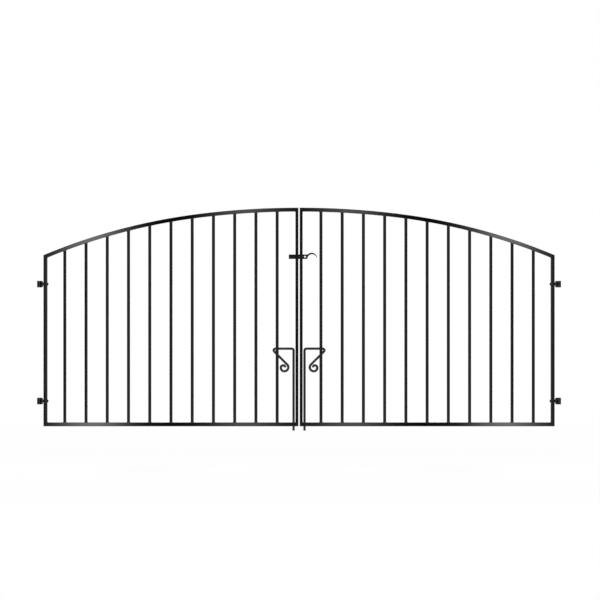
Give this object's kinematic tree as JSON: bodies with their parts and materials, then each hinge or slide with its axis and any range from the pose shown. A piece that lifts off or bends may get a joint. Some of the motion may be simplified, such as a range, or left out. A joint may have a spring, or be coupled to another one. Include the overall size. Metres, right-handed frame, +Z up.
{
  "type": "double driveway gate",
  "caption": "Arched black metal driveway gate: paired leaves of round upright bars that swing inward on pin hinges, with a gravity latch and scroll-handled drop bolts.",
  "frame": {"origin": "centre of the left lower hinge bracket's back face, where it lies on its post", "axes": "+X to the right hinges as seen from the street, +Y to the inside, +Z up"},
  "size_m": [2.134, 0.049, 0.9108],
  "materials": {
    "black_coat": "satin black powder coat on steel",
    "zinc": "dull bright zinc plating"
  },
  "bodies": {
    "hinge_brackets": {"left_lower_bracket": "black_coat", "left_upper_bracket": "black_coat", "right_lower_bracket": "black_coat", "right_upper_bracket": "black_coat", "hinge_pins": "black_coat"},
    "left_leaf": {"left_hanging_stile": "black_coat", "left_meeting_stile": "black_coat", "left_bottom_rail": "black_coat", "left_top_rail": "black_coat", "left_eye_bolts": "black_coat", "left_bolt_guide": "black_coat", "left_bar_01": "black_coat", "left_bar_02": "black_coat", "left_bar_03": "black_coat", "left_bar_04": "black_coat", "left_bar_05": "black_coat", "left_bar_06": "black_coat", "left_bar_07": "black_coat", "left_bar_08": "black_coat", "left_bar_09": "black_coat", "left_bar_10": "black_coat", "left_bar_11": "black_coat", "latch_keep": "black_coat"},
    "right_leaf": {"right_hanging_stile": "black_coat", "right_meeting_stile": "black_coat", "right_bottom_rail": "black_coat", "right_top_rail": "black_coat", "right_eye_bolts": "black_coat", "right_bolt_guide": "black_coat", "right_bar_01": "black_coat", "right_bar_02": "black_coat", "right_bar_03": "black_coat", "right_bar_04": "black_coat", "right_bar_05": "black_coat", "right_bar_06": "black_coat", "right_bar_07": "black_coat", "right_bar_08": "black_coat", "right_bar_09": "black_coat", "right_bar_10": "black_coat", "right_bar_11": "black_coat", "latch_pivot": "zinc"},
    "latch_arm": {"latch_arm": "black_coat"},
    "left_drop_bolt": {"left_drop_bolt": "black_coat"},
    "right_drop_bolt": {"right_drop_bolt": "black_coat"}
  },
  "joints": [
    {"name": "left_leaf_swing", "type": "hinge", "parent": "hinge_brackets", "child": "left_leaf", "pos_m": [0.0148, 0, 0], "axis": [0, 0, 1], "range_deg": [0, 90]},
    {"name": "right_leaf_swing", "type": "hinge", "parent": "hinge_brackets", "child": "right_leaf", "pos_m": [2.1192, 0, 0], "axis": [0, 0, -1], "range_deg": [0, 90]},
    {"name": "latch_lift", "type": "hinge", "parent": "right_leaf", "child": "latch_arm", "pos_m": [1.0757, 0.012, 0.589], "axis": [0, 1, 0], "range_deg": [0, 45]},
    {"name": "left_bolt_slide", "type": "slide", "parent": "left_leaf", "child": "left_drop_bolt", "axis": [0, 0, 1], "range_m": [-0.08, 0.015]},
    {"name": "right_bolt_slide", "type": "slide", "parent": "right_leaf", "child": "right_drop_bolt", "axis": [0, 0, 1], "range_m": [-0.08, 0.015]}
  ]
}
